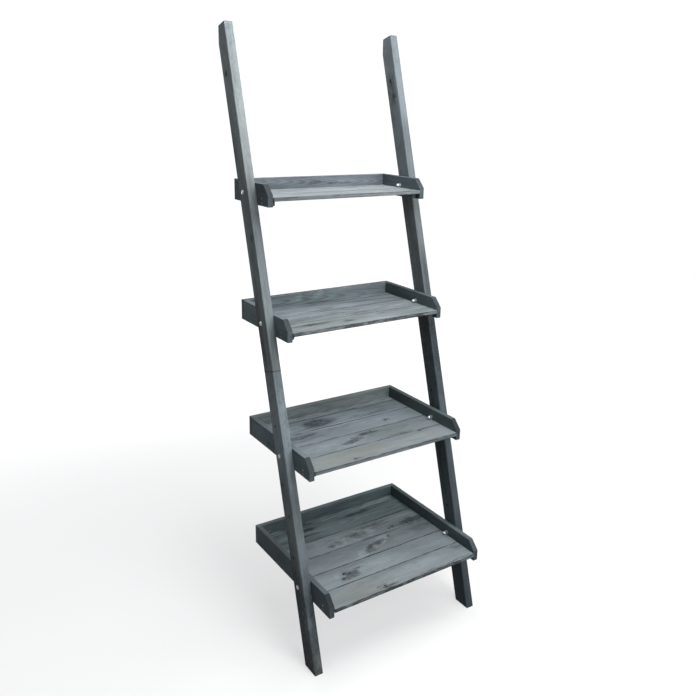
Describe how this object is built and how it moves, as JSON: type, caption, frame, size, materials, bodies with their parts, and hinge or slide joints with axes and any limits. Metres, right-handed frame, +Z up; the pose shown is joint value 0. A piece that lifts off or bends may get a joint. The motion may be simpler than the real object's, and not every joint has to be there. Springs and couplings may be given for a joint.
{
  "type": "plant ladder stand",
  "caption": "Leaning ladder stand for plants: two rails that lean on a wall carry open slatted trays, deepest at the bottom.",
  "frame": {"origin": "on the ground, at the middle of the stand's width and depth", "axes": "+Z up, +Y towards the wall that the rails lean on, +X to the right of someone who faces the trays"},
  "size_m": [0.568, 0.5566, 1.6805],
  "materials": {
    "stained_frame": "grey-blue stain, matt, grain showing",
    "stained_slats": "grey-blue stain, matt, paler and streaked",
    "bare_wood": "bare, turned",
    "bright_steel": "bright zinc plate",
    "screw_steel": "zinc plate"
  },
  "bodies": {
    "root": {"left_rail_lower": "stained_frame", "left_rail_upper": "stained_frame", "right_rail_lower": "stained_frame", "right_rail_upper": "stained_frame", "rail_joint_dowels": "bare_wood", "bottom_tray_left_side": "stained_frame", "bottom_tray_right_side": "stained_frame", "bottom_tray_back_board": "stained_frame", "bottom_tray_left_runner": "stained_frame", "bottom_tray_right_runner": "stained_frame", "lower_tray_left_side": "stained_frame", "lower_tray_right_side": "stained_frame", "lower_tray_back_board": "stained_frame", "lower_tray_left_runner": "stained_frame", "lower_tray_right_runner": "stained_frame", "upper_tray_left_side": "stained_frame", "upper_tray_right_side": "stained_frame", "upper_tray_back_board": "stained_frame", "upper_tray_left_runner": "stained_frame", "upper_tray_right_runner": "stained_frame", "top_tray_left_side": "stained_frame", "top_tray_right_side": "stained_frame", "top_tray_back_board": "stained_frame", "top_tray_left_runner": "stained_frame", "top_tray_right_runner": "stained_frame", "bottom_tray_slat_1": "stained_slats", "bottom_tray_slat_2": "stained_slats", "bottom_tray_slat_3": "stained_slats", "bottom_tray_slat_4": "stained_slats", "bottom_tray_slat_5": "stained_slats", "lower_tray_slat_1": "stained_slats", "lower_tray_slat_2": "stained_slats", "lower_tray_slat_3": "stained_slats", "lower_tray_slat_4": "stained_slats", "upper_tray_slat_1": "stained_slats", "upper_tray_slat_2": "stained_slats", "upper_tray_slat_3": "stained_slats", "top_tray_slat_1": "stained_slats", "top_tray_slat_2": "stained_slats", "bottom_tray_back_strip": "stained_slats", "lower_tray_back_strip": "stained_slats", "upper_tray_back_strip": "stained_slats", "top_tray_back_strip": "stained_slats", "coach_bolts": "bright_steel", "washers": "bright_steel", "cap_nuts": "bright_steel", "tray_pins": "bare_wood", "side_screws": "screw_steel", "back_board_screws": "screw_steel", "runner_screws": "screw_steel", "slat_screws": "screw_steel"}
  },
  "joints": []
}
